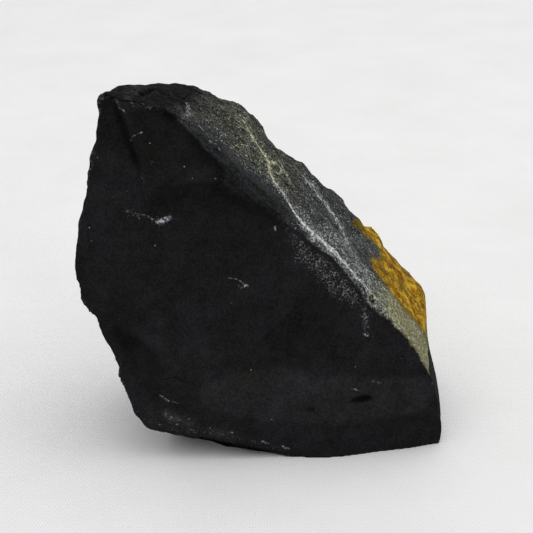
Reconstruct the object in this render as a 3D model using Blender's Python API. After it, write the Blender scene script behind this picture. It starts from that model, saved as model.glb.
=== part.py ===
"""A chunk of black silica, broken off a bed: one dense black stone with a weathered crust on one side.

The stone stands on its flat underside. Its fresh black break faces -Y and leans back. The weathered
joint face, with its crust, runs down the upper right side, facing +X and +Z, from the fresh break to
the back. Lengths are in millimetres until MM turns them into metres, and +Z is up. The origin ends up
under the middle of the stone, on the surface that it rests on.

The block is the hull of its corners. Flakes are struck off it, each leaving a shallow scar, and the
broken surface gets its swells. The last step cuts the underside flat.
"""

import math

import bmesh
import bpy
from mathutils import Matrix, Vector, noise

MM = 0.001

# Corners of the block before any flake leaves it.
FRONT_RIM = [  # the fresh break's edge, clockwise from its top left, seen from the front
    (-30.7, -6.6, 69.0),
    (-25.0, -6.1, 67.6),
    (-19.2, -5.6, 66.4),
    (-14.8, -6.0, 63.6),
    (-10.3, -6.7, 59.8),
    (0.7, -8.5, 49.6),
    (11.4, -10.2, 39.9),
    (20.2, -11.9, 31.0),
    (25.5, -13.0, 25.3),
    (30.0, -14.2, 19.4),
    (33.0, -14.6, 13.0),
    (34.8, -13.4, 2.4),
]
FRONT_LEFT = [  # the same edge, down the left side from the top, then along the bottom to the foot
    (-32.7, -9.2, 58.1),
    (-33.4, -10.2, 54.6),
    (-35.7, -14.0, 42.7),
    (-36.0, -15.3, 38.1),
    (-34.9, -16.8, 33.0),
    (-27.3, -20.0, 19.0),
    (-26.1, -19.9, 12.6),
    (-24.9, -19.8, 8.9),
    (-22.9, -19.7, 6.7),
    (-19.8, -19.7, 5.6),
    (-12.8, -19.6, 4.4),
    (-7.0, -19.6, 3.6),
    (-3.2, -19.5, 2.7),
    (1.6, -19.5, 1.5),
]
BAND_FOLD = [(11.3, -17.8, 17.3)]  # where the fresh break turns upright, low on the front
CRUST_CREST = [  # the ridge that splits the crust in two, from its top down to the fresh break
    (-4.2, 10.0, 60.0),
    (1.7, 5.0, 51.4),
    (7.5, 0.0, 41.9),
]
BACK_EDGE = [  # where the crust ends at the back, from the top left down to the right
    (-26.7, 4.0, 67.8),
    (-15.8, 10.0, 66.9),
    (-11.5, 13.0, 65.9),
    (-4.7, 15.0, 61.8),
    (-1.7, 16.0, 56.6),
    (15.8, 18.0, 40.3),
    (20.3, 18.0, 34.7),
    (27.8, 18.0, 24.9),
    (33.0, 16.0, 20.4),
    (32.6, 14.0, 18.1),
    (32.1, 6.0, 10.5),
    (33.1, -4.0, 7.1),
]
BACK = [  # the old break behind
    (-30.0, 7.0, 46.0),
    (-31.0, 6.0, 33.0),
    (-25.0, 14.0, 24.0),
    (2.0, 21.0, 27.0),
    (-10.0, 20.0, 12.0),
    (24.0, 20.0, 10.0),
]
FOOT = [  # the outline that the stone stands on
    (12.0, -19.3),
    (16.5, -18.8),
    (26.2, -16.2),
    (34.0, -14.0),
    (31.0, 0.0),
    (26.0, 15.0),
    (8.0, 20.5),
    (-16.0, 17.0),
    (-21.0, 6.0),
    (-16.0, -8.0),
]
UNDERCUT = 1.5  # the block reaches this far below the foot, until the last step cuts it off

# The scars of the flakes, face by face. Each one's values are its deepest point, which way it looks
# (azimuth from -Y towards +X, and elevation, in degrees), its width across and up, its depth, and its
# turn about the way it looks, in degrees. A scar that looks a little away from the face that it is on
# has a steep step on that side and runs out on the other.
FRONT_SCARS = {
    "shoulder": ((-32.0, -9.8, 60.0), (15, 16), (14.0, 27.0), 1.2, 19),
    "under_top": ((-13.0, -6.2, 61.5), (6, 20), (19.0, 21.0), 0.9, -14),
    "under_ridge": ((-3.0, -11.2, 42.5), (7, 20), (42.0, 23.0), 1.1, 6),
    "right": ((19.5, -14.6, 25.0), (4, 17), (36.0, 16.0), 1.0, 40),
    "low_left": ((-25.5, -18.4, 18.5), (6, 14), (12.5, 17.0), 1.0, 25),
}
LEFT_SCARS = {
    "notch": ((-29.6, -17.8, 23.0), (-42, 2), (10.0, 26.0), 2.5, -30),
    "top": ((-32.6, -6.0, 64.0), (-66, 6), (14.0, 14.0), 0.8, 0),
    "waist": ((-34.6, -11.8, 49.2), (-66, 6), (11.0, 8.0), 0.6, 0),
    "back": ((-31.5, 1.0, 38.0), (-100, -6), (22.0, 34.0), 2.0, 16),
    "foot": ((-25.0, -3.0, 10.0), (-96, -34), (26.0, 18.0), 1.8, -20),
}
CRUST_SCARS = {
    "upper_gap": ((2.0, 16.6, 53.2), (85, 34), (13.0, 11.0), 1.2, 20),
    "middle_gap": ((8.4, 17.4, 47.4), (85, 34), (10.0, 9.0), 0.6, 20),
    "lower_gap": ((17.6, 18.2, 37.2), (85, 34), (11.0, 7.0), 0.7, 20),
    "low_gap": ((25.6, 17.4, 28.4), (85, 34), (12.0, 9.0), 0.8, 20),
}
BACK_SCARS = {
    "high": ((-12.0, 14.5, 55.0), (186, 18), (38.0, 34.0), 2.6, 20),
    "middle": ((9.0, 20.5, 36.0), (166, 12), (40.0, 30.0), 2.6, -48),
    "low": ((-6.0, 20.0, 12.0), (188, -8), (44.0, 27.0), 2.4, 8),
    "corner": ((27.0, 18.5, 13.0), (150, 2), (24.0, 24.0), 2.2, 0),
    "shoulder": ((-27.0, 9.0, 46.0), (222, 10), (22.0, 36.0), 2.0, 8),
}
CAP = 0.3  # a scar's depth, as a share of the radius of the ellipsoid that fits it

# The broken surface: waves on it, each with its length, its height, and where in the noise it is read.
SWELLS = [(11.0, 0.45, (0, 0, 0)), (5.0, 0.20, (7, 3, 1))]
KNOBS = (3.6, 0.28, (2, 9, 4))  # the same for the crust's knobs
KNOB_STRETCH = 0.6  # how much the knobs are drawn out along the crust's ridge
CRUST_LOOKS = (55, 45)  # the way that the crust faces, in degrees
CRUST_FACING = (0.72, 0.86)  # no crust where the surface agrees less with that, full crust where more
RIDGE_RUN = Vector((0.72, 0.0, -0.69))  # the crust's ridge runs down this way

NET_DEPTH = 7  # the net has 2 to this power of steps along the longest side of its own box
NET_SCALE = 0.6  # the stone, as a share of that box
TRIANGLES = 8200  # what is kept of the net
SNAP = 0.2 * MM  # corners closer than this are one
GROUND = 100 * MM  # the side of the block that cuts the foot
CREASE = math.radians(32)  # edges sharper than this are shaded sharp


def clear_scene():
    """Removes whatever the file opened with."""
    for obj in list(bpy.data.objects):
        bpy.data.objects.remove(obj)


def new_object(name, bm):
    """Makes a linked object from a bmesh, and frees the bmesh."""
    mesh = bpy.data.meshes.new(name)
    bm.to_mesh(mesh)
    bm.free()
    obj = bpy.data.objects.new(name, mesh)
    bpy.context.scene.collection.objects.link(obj)
    return obj


def direction(azimuth, elevation):
    """The unit vector that looks that way: azimuth 0 is -Y, and 90 is +X."""
    azimuth, elevation = math.radians(azimuth), math.radians(elevation)
    level = math.cos(elevation)
    return Vector((math.sin(azimuth) * level, -math.cos(azimuth) * level, math.sin(elevation)))


def ramp(value, low, high):
    """0 below low, 1 above high, and a smooth step between."""
    part = min(max((value - low) / (high - low), 0.0), 1.0)
    return part * part * (3 - 2 * part)


def block():
    """The stone as it left the bed: the hull of its corners."""
    foot = [(x, y, -UNDERCUT) for x, y in FOOT]
    bm = bmesh.new()
    for corner in FRONT_RIM + FRONT_LEFT + BAND_FOLD + CRUST_CREST + BACK_EDGE + BACK + foot:
        bm.verts.new(Vector(corner) * MM)
    hull = bmesh.ops.convex_hull(bm, input=bm.verts)
    bmesh.ops.delete(bm, geom=list({*hull["geom_interior"], *hull["geom_unused"]}), context="VERTS")
    return new_object("black_silica_stone", bm)


def flake(name, deepest, looks, widths, depth, turn):
    """The ellipsoid whose lowest cap leaves a scar of these widths and this depth."""
    out = direction(*looks)
    half_chord = math.sqrt(2 * CAP - CAP**2)  # of a unit ball, at the level where the cap is cut off
    radii = Vector((widths[0] / 2 / half_chord, widths[1] / 2 / half_chord, depth / CAP)) * MM
    centre = Vector(deepest) * MM + out * (radii.z - depth * MM)
    facing = out.to_track_quat("Z", "Y") @ Matrix.Rotation(math.radians(turn), 3, "Z").to_quaternion()
    bm = bmesh.new()
    bmesh.ops.create_icosphere(bm, subdivisions=3, radius=1.0)
    bmesh.ops.transform(bm, matrix=Matrix.LocRotScale(centre, facing, radii), verts=bm.verts)
    cutter = new_object(name, bm)
    cutter.hide_render = True
    cutter.display_type = "WIRE"
    return cutter


def strike(stone, face, scars):
    """Takes this face's flakes off the stone."""
    for place, scar in scars.items():
        cut = stone.modifiers.new(f"{face}_{place}", "BOOLEAN")
        cut.operation = "DIFFERENCE"
        cut.object = flake(f"flake_{face}_{place}", *scar)


def settle(stone):
    """Gives the stone the mesh that its modifiers make of it, and drops the modifiers."""
    bpy.context.view_layer.update()
    shaped = stone.evaluated_get(bpy.context.evaluated_depsgraph_get())
    mesh = bpy.data.meshes.new_from_object(shaped)
    stone.modifiers.clear()
    stone.data = mesh


def lay_net(stone):
    """Lays an even net of small faces over the stone, and keeps its edges sharp."""
    net = stone.modifiers.new("net", "REMESH")
    net.mode = "SHARP"
    net.octree_depth = NET_DEPTH
    net.scale = NET_SCALE
    settle(stone)


def wave(at, length, height, offset):
    """One wave of the broken surface at this point."""
    return noise.noise(at / (length * MM) + Vector(offset)) * height * MM


def relief(at, looks):
    """How far the broken surface stands out at this point, where it looks this way."""
    crust = ramp(looks.dot(direction(*CRUST_LOOKS)), *CRUST_FACING)
    drawn_out = at - RIDGE_RUN * at.dot(RIDGE_RUN) * KNOB_STRETCH
    return sum(wave(at, *swell) for swell in SWELLS) + wave(drawn_out, *KNOBS) * crust


def roughen(stone):
    """Lifts and sinks the surface: low swells on the breaks, and knobs on the crust."""
    bm = bmesh.new()
    bm.from_mesh(stone.data)
    bm.normal_update()
    lifts = [vert.normal * relief(vert.co, vert.normal) for vert in bm.verts]
    for vert, lift in zip(bm.verts, lifts):
        vert.co += lift
    bm.to_mesh(stone.data)
    bm.free()


def thin_out(stone):
    """Joins small faces where the surface is nearly flat, and corners that nearly meet."""
    stone.data.calc_loop_triangles()
    thin = stone.modifiers.new("thin", "DECIMATE")
    thin.ratio = TRIANGLES / len(stone.data.loop_triangles)
    settle(stone)
    bm = bmesh.new()
    bm.from_mesh(stone.data)
    bmesh.ops.remove_doubles(bm, verts=bm.verts, dist=SNAP)
    bmesh.ops.dissolve_degenerate(bm, edges=bm.edges, dist=SNAP)
    bm.to_mesh(stone.data)
    bm.free()


def cut_foot(stone):
    """Cuts the stone off flat at the surface that it rests on, clear of the corners near it."""
    for vert in stone.data.vertices:
        if abs(vert.co.z) < SNAP:
            vert.co.z = -SNAP
    bm = bmesh.new()
    bmesh.ops.create_cube(bm, size=GROUND)
    bmesh.ops.translate(bm, verts=bm.verts, vec=(0, 0, -GROUND / 2))
    ground = new_object("ground", bm)
    ground.hide_render = True
    ground.display_type = "WIRE"
    cut = stone.modifiers.new("foot", "BOOLEAN")
    cut.operation = "DIFFERENCE"
    cut.object = ground
    settle(stone)


def centre(stone):
    """Moves the stone over the origin, by the middle of its box."""
    for axis in (0, 1):
        places = [vert.co[axis] for vert in stone.data.vertices]
        middle = (min(places) + max(places)) / 2
        for vert in stone.data.vertices:
            vert.co[axis] -= middle


def black_silica():
    """Dense black silica: nearly black, with a dull lustre."""
    material = bpy.data.materials.new("black_silica")
    material.use_nodes = True
    shader = material.node_tree.nodes["Principled BSDF"]
    shader.inputs["Base Color"].default_value = (0.012, 0.012, 0.013, 1.0)
    shader.inputs["Roughness"].default_value = 0.6
    shader.inputs["Metallic"].default_value = 0.0
    return material


def main():
    """Builds the stone."""
    clear_scene()
    stone = block()
    strike(stone, "front", FRONT_SCARS)
    strike(stone, "left", LEFT_SCARS)
    strike(stone, "crust", CRUST_SCARS)
    strike(stone, "back", BACK_SCARS)
    lay_net(stone)
    roughen(stone)
    thin_out(stone)
    cut_foot(stone)
    centre(stone)
    stone.data.shade_smooth()
    stone.data.set_sharp_from_angle(angle=CREASE)
    stone.data.materials.clear()
    stone.data.materials.append(black_silica())


main()
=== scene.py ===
"""A chunk of black silica on a pale cloth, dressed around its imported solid.

The stone is one piece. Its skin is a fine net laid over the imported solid, with the steps, cracks and
chips of its breaks, and its finishes run into each other by their distance from the marks on it.
Lengths are in millimetres until MM turns them into metres. +Z is up, and the fresh break faces -Y.
"""
import logging
import math
from dataclasses import dataclass, field
from enum import Enum
from typing import Callable, Mapping, Sequence

import bmesh
import bpy
import numpy as np
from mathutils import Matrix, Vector, noise
from mathutils.kdtree import KDTree


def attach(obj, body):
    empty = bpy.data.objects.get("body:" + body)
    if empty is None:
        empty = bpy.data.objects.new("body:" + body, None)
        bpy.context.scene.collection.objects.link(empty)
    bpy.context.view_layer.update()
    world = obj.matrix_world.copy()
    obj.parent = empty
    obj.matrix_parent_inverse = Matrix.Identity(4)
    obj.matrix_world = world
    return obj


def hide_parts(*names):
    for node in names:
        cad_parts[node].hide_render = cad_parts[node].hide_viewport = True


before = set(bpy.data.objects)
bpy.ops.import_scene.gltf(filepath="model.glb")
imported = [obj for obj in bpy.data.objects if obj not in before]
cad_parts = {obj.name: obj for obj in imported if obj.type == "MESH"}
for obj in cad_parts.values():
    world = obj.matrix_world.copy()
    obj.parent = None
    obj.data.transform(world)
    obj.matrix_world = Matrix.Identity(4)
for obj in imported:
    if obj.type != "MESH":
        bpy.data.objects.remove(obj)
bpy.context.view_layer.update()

MM = 0.001
NODE = "black_silica_stone"
STROKE_REACH = 1.2
DOWN_RIDGE = (0.72, 0.0, -0.69)
OFF_RIDGE = (0.69, 0.0, 0.72)

log = logging.getLogger("black_silica")

Array = np.ndarray
Socket = bpy.types.NodeSocket
Colour = tuple[float, float, float]
Point = tuple[float, float]
Place = tuple[float, float, float]
Span = tuple[float, float]
Band = tuple[float, float, float, float]
Fed = Mapping[str | int, object]


def tint(*chart: float) -> Colour:
    """Turns a colour of a painter's chart into the light that it sends back.

    Args:
        chart: The chart's red, green and blue, from 0 to 255.

    Returns:
        The same colour in linear light.
    """
    parts = (part / 255 for part in chart)
    return tuple(part / 12.92 if part <= 0.04045 else ((part + 0.055) / 1.055) ** 2.4 for part in parts)


def ease(value: Array | float, low: float, high: float) -> Array:
    """Steps smoothly from 0 at low to 1 at high.

    Args:
        value: What is measured.
        low: Where the step begins.
        high: Where it ends; below low for a step down.

    Returns:
        The step, from 0 to 1.
    """
    part = np.clip((np.asarray(value, float) - low) / (high - low), 0.0, 1.0)
    return part * part * (3 - 2 * part)


def band(value: Array, start: float, full: float, fade: float, end: float) -> Array:
    """Is 1 between full and fade, and falls smoothly to 0 at start and end."""
    return ease(value, start, full) * ease(value, end, fade)


class Side(Enum):
    """A side of the stone that carries marks, by the plan that they are drawn on.

    Each value is the plan's two axes, what is added to its coordinates, and the way the side faces.
    """

    FRONT = ((1.0, 0.0, 0.0), (0.0, 0.0, 1.0), (0.0, 0.0), (0.0, -0.95, 0.3))
    CRUST = (DOWN_RIDGE, (0.0, 1.0, 0.0), (67.0, 0.0), (0.58, 0.0, 0.81))

    def plan(self, places: Array) -> Array:
        """Lays places on the side's plan, as two coordinates each."""
        across, up, shift, _ = self.value
        return np.stack([places @ np.array(across), places @ np.array(up)], axis=1) + np.array(shift)

    def off(self, places: Array, middle: Point) -> Array:
        """How far places are from a point of the plan."""
        return np.linalg.norm(self.plan(places) - np.array(middle), axis=1)

    def faces(self, looks: Array) -> Array:
        """How far each normal agrees with the way this side faces, from -1 to 1."""
        return looks @ np.array(self.value[3])


@dataclass(frozen=True)
class Line:
    """A line on a side's plan, through points in millimetres; closed, it is the outline of a patch."""

    side: Side
    points: tuple[Point, ...]

    def reach(self, places: Array) -> tuple[Array, Array, Array]:
        """Measures places against the line.

        Args:
            places: Places on the stone, in millimetres.

        Returns:
            The distance to the line, which side of it they are on, as +1 to its left and -1 to its
            right, and how far along it they are, from 0 to 1.
        """
        flat = self.side.plan(places)
        least = np.full(len(flat), np.inf)
        hand = np.ones(len(flat))
        along = np.zeros(len(flat))
        knots = np.array(self.points, float)
        lengths = np.linalg.norm(np.diff(knots, axis=0), axis=1)
        passed = 0.0
        for start, end, length in zip(knots[:-1], knots[1:], lengths):
            way = (end - start) / length
            off = flat - start
            run = np.clip(off @ way, 0.0, length)
            gap = off - run[:, None] * way
            distance = np.hypot(gap[:, 0], gap[:, 1])
            nearer = distance < least - 1e-9
            turn = way[0] * off[:, 1] - way[1] * off[:, 0]
            hand = np.where(nearer, np.where(turn >= 0, 1.0, -1.0), hand)
            along = np.where(nearer, (passed + run) / lengths.sum(), along)
            least = np.minimum(least, distance)
            passed += length
        return least, hand, along

    def depth(self, places: Array) -> Array:
        """Measures how far inside the closed line places are.

        Args:
            places: Places on the stone, in millimetres.

        Returns:
            The distance to the line, less than 0 outside it.
        """
        edge = Line(self.side, self.points + self.points[:1])
        flat = self.side.plan(places)
        inside = np.zeros(len(flat), bool)
        for (x0, y0), (x1, y1) in zip(edge.points[:-1], edge.points[1:]):
            if y0 != y1:
                crosses = (y0 > flat[:, 1]) != (y1 > flat[:, 1])
                inside ^= crosses & (flat[:, 0] < (x1 - x0) * (flat[:, 1] - y0) / (y1 - y0) + x0)
        return np.where(inside, 1.0, -1.0) * edge.reach(places)[0]


def front(*points: Point) -> Line:
    """A line on the front's plan: x to the right and z up."""
    return Line(Side.FRONT, points)


def crust(*points: Point) -> Line:
    """A line on the crust's plan: down along the ridge from the stone's top, and y across it."""
    return Line(Side.CRUST, points)


@dataclass(frozen=True)
class Step:
    """A break's step: the ground on one hand of its line drops, and comes back with distance."""

    line: Line
    drop: float
    wall: float
    run: float
    middle: Point
    radius: float
    gain: float = 1.0
    low_hand: int = -1

    def share(self, places: Array) -> Array:
        """Works out how much of the drop each place has.

        Args:
            places: Places on the stone, in millimetres.

        Returns:
            The shares, from 0 to 1.
        """
        distance, hand, _ = self.line.reach(places)
        signed = distance * hand * self.low_hand
        shape = ease(signed, -self.wall / 2, self.wall / 2) * np.exp(-np.maximum(signed, 0) / self.run)
        return shape * ease(self.line.side.off(places, self.middle), self.radius, self.radius * 0.6)

    def lift(self, places: Array) -> Array:
        """How far the step raises each place; below 0 where it drops."""
        return -self.drop * self.share(places)

    def tone(self, places: Array) -> Array:
        """What the colour of each place is multiplied by; a gain below 1 paints shade on the dropped side."""
        return 1 - (1 - self.gain) * self.share(places)


@dataclass(frozen=True)
class Shade:
    """A patch that is darker or lighter than what is round it, by a gain, with a soft edge."""

    line: Line
    gain: float
    soft: float

    def tone(self, places: Array) -> Array:
        """What the colour of each place is multiplied by."""
        return 1 + (self.gain - 1) * ease(self.line.depth(places), -self.soft, self.soft)


@dataclass(frozen=True)
class Grains:
    """Pale grains that lie along a line, densest within half a width of it, and fall off past that."""

    line: Line
    cover: float
    half: float
    fall: float

    def lie(self, places: Array) -> Array:
        """How densely they lie at each place, from 0 to 1."""
        return self.cover * np.exp(-np.maximum(self.line.reach(places)[0] - self.half, 0) / self.fall)


@dataclass(frozen=True)
class Stroke:
    """A thin mark along a line, with its half-widths at even steps from its start to its end."""

    line: Line
    halves: tuple[float, ...]

    def reach(self, places: Array) -> tuple[Array, Array]:
        """Measures places against the stroke.

        Args:
            places: Places on the stone, in millimetres.

        Returns:
            The distance to its middle, less than 0 on its right, and its half-width there, which is
            less than 0 where the stroke is too far away to show.
        """
        distance, hand, along = self.line.reach(places)
        half = np.interp(along, np.linspace(0, 1, len(self.halves)), self.halves)
        past_end = (along <= 0.0) | (along >= 1.0)
        half = half - 2.0 * distance * past_end
        return distance * hand, np.where(distance < STROKE_REACH, half, -STROKE_REACH)


@dataclass(frozen=True)
class Crack:
    """A narrow groove along a line."""

    line: Line
    depth: float
    width: float

    def lift(self, places: Array) -> Array:
        """How far the crack sinks each place, as a number below 0."""
        distance, _, along = self.line.reach(places)
        return -self.depth * np.exp(-((distance / self.width) ** 2)) * band(along, 0, 0.15, 0.85, 1)


@dataclass(frozen=True)
class Pit:
    """A shallow oval hollow, turned by an angle in degrees."""

    side: Side
    middle: Point
    radii: tuple[float, float]
    depth: float
    turn: float = 0.0

    def lift(self, places: Array) -> Array:
        """Works out how far the pit sinks each place.

        Args:
            places: Places on the stone, in millimetres.

        Returns:
            The lifts, 0 or below.
        """
        off = self.side.plan(places) - np.array(self.middle)
        angle = math.radians(self.turn)
        along = off[:, 0] * math.cos(angle) + off[:, 1] * math.sin(angle)
        across = off[:, 1] * math.cos(angle) - off[:, 0] * math.sin(angle)
        return -self.depth * ease(np.hypot(along / self.radii[0], across / self.radii[1]), 1.15, 0.55)


@dataclass(frozen=True)
class Bulge:
    """A soft rise on the stone's outline, or a hollow where its height is below 0."""

    side: Side
    middle: Point
    radius: float
    height: float

    def lift(self, places: Array) -> Array:
        """How far the bulge raises each place."""
        return self.height * np.exp(-((self.side.off(places, self.middle) / self.radius) ** 2))


@dataclass(frozen=True)
class Swell:
    """Noise that raises and sinks the surface, drawn out along one way."""

    length: float
    height: float
    seed: float
    drawn_out: float = 1.0
    along: Place = (1.0, 0.0, 0.0)

    def lift(self, places: Array) -> Array:
        """Works out how far the swell raises each place.

        Args:
            places: Places on the stone, in millimetres.

        Returns:
            The lifts, below 0 where it sinks.
        """
        way = np.array(self.along) / np.linalg.norm(self.along)
        pulled = places - np.outer(places @ way, way) * (1 - 1 / self.drawn_out)
        shift = Vector((self.seed, self.seed * 1.7, self.seed * 0.6))
        return self.height * np.array([noise.noise(Vector(p) + shift) for p in pulled / self.length])


# Steps and cracks, and the ridge between the fresh break and the crust.
SHOULDER_WALL = front(
    (-28.0, 69.2), (-26.8, 67.0), (-25.4, 63.8), (-24.5, 60.7), (-23.6, 58.2), (-23.1, 55.4)
)
SCOOP_RIM = front(
    (-21.7, 51.0), (-20.6, 51.9), (-18.2, 52.6), (-13.0, 52.9), (-7.7, 52.4), (-2.6, 52.0), (1.1, 49.2)
)
RIGHT_CRACK = front((9.5, 32.9), (7.9, 31.3), (6.3, 29.9), (4.1, 28.2), (1.7, 25.8), (-0.4, 23.9))
LOW_SCAR_WALL = front(
    (-29.6, 27.4), (-28.0, 27.1), (-26.1, 26.7), (-24.2, 25.2), (-22.9, 23.7), (-21.3, 21.7),
    (-20.5, 20.0), (-19.7, 18.4)
)
LOW_CRACK = front((-20.9, 16.1), (-18.7, 16.6), (-17.0, 17.2), (-16.2, 17.0), (-14.0, 16.2), (-12.5, 15.7))
LOW_CRACK_SPUR = front((-17.0, 17.1), (-15.9, 18.6))
UPRIGHT_CRACK = front((12.6, 16.5), (11.8, 15.3), (12.2, 13.1), (13.0, 11.3), (13.0, 9.2), (10.8, 6.0))
TOP_SLIT = crust((3.3, -1.4), (4.0, -1.6), (4.5, -0.2), (5.0, 1.3))
RIDGE = crust(
    (-4.0, -6.0), (0.0, -6.0), (8.0, -4.9), (13.0, -5.3), (18.8, -6.7), (24.9, -8.3), (30.0, -8.0),
    (35.6, -8.3), (41.4, -9.1), (47.7, -10.2), (53.7, -11.5), (57.8, -12.1), (66.7, -13.4), (75.8, -14.8),
    (79.4, -15.1), (80.0, -9.0), (81.2, 20.0), (82.0, 60.0)
)

SHOULDER = Step(SHOULDER_WALL, drop=0.85, wall=1.1, run=7.0, middle=(-27.0, 59.5), radius=13.5)
# The scoop's gain darkens the ground below its rim as painted shade.
SCOOP = Step(SCOOP_RIM, drop=0.3, wall=1.2, run=9.0, middle=(-9.0, 46.0), radius=17.0, gain=0.74)
# The right scar's gain darkens the ground beside its crack as painted shade.
RIGHT_SCAR = Step(
    RIGHT_CRACK, drop=0.12, wall=0.6, run=9.0, middle=(6.0, 26.0), radius=12.0, gain=0.92, low_hand=1
)
LOW_SCAR = Step(LOW_SCAR_WALL, drop=0.35, wall=1.6, run=4.0, middle=(-25.5, 24.0), radius=7.0)
FRONT_MARKS = (
    SHOULDER,
    SCOOP,
    RIGHT_SCAR,
    LOW_SCAR,
    Crack(RIGHT_CRACK, 0.09, 0.3),
    Crack(LOW_CRACK, 0.22, 0.32),
    Crack(LOW_CRACK_SPUR, 0.12, 0.3),
    Crack(UPRIGHT_CRACK, 0.09, 0.4),
    Pit(Side.FRONT, (18.8, 11.8), (2.6, 0.75), 0.5, 4.0),
    Pit(Side.FRONT, (9.1, 10.2), (1.0, 0.7), 0.2),
    Pit(Side.FRONT, (-10.5, 59.3), (1.6, 0.8), 0.25, -40.0),
)
BREAK_SWELLS = (Swell(7.0, 0.14, 3.1), Swell(2.4, 0.045, 8.4), Swell(0.95, 0.018, 5.2))
CRUST_MARKS = (
    Crack(TOP_SLIT, 0.5, 0.5),
    Swell(3.4, 0.16, 1.3, 1.8, DOWN_RIDGE),
    Swell(1.3, 0.09, 6.6, 1.3, DOWN_RIDGE),
    Swell(0.75, 0.06, 2.6),
)

# What frays the chipped edges, the crust's lower end and the crust's edge at the back.
CHIP_SWELL = Swell(2.9, 1.0, 11.0)
END_SWELL = Swell(4.0, 3.2, 7.7)
BACK_SWELLS = (Swell(3.0, 3.4, 4.2), Swell(0.9, 2.2, 9.1))

# Rises and hollows of the outline, along the crest and around the front's rim.
CREST_BULGES = tuple(
    Bulge(Side.CRUST, place, radius, height)
    for place, radius, height in (
        ((55.0, 9.5), 3.2, 1.45), ((42.8, 9.8), 2.5, 0.7), ((39.0, 13.1), 1.8, -0.7),
        ((30.8, 7.5), 1.8, 0.4), ((27.0, 9.6), 2.2, -1.1), ((21.0, 9.4), 3.0, 0.45),
        ((13.0, 7.0), 3.0, 0.25), ((2.0, 0.0), 1.9, 0.85), ((62.4, 14.6), 1.8, -0.7),
        ((74.6, 10.0), 2.6, 1.0)
    )
)
RIM_BULGES = tuple(
    Bulge(Side.FRONT, place, radius, height)
    for place, radius, height in (
        ((-29.2, 68.6), 1.8, 0.6), ((-31.4, 57.5), 2.4, 0.75), ((-32.6, 51.8), 1.3, -0.5),
        ((-33.6, 46.0), 1.7, 0.6), ((-34.3, 39.0), 2.5, 0.45), ((-33.9, 35.3), 1.0, -0.35),
        ((-33.2, 32.6), 1.3, 0.65), ((-31.3, 28.2), 2.2, -0.5), ((-26.5, 17.2), 3.2, -1.45),
        ((-22.0, 8.2), 1.8, 0.4), ((-8.0, 4.2), 6.0, -1.9), ((1.5, 2.4), 4.0, -0.9),
        ((32.6, 15.0), 4.0, -0.8), ((33.5, 7.0), 3.0, 0.25)
    )
)
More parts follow.
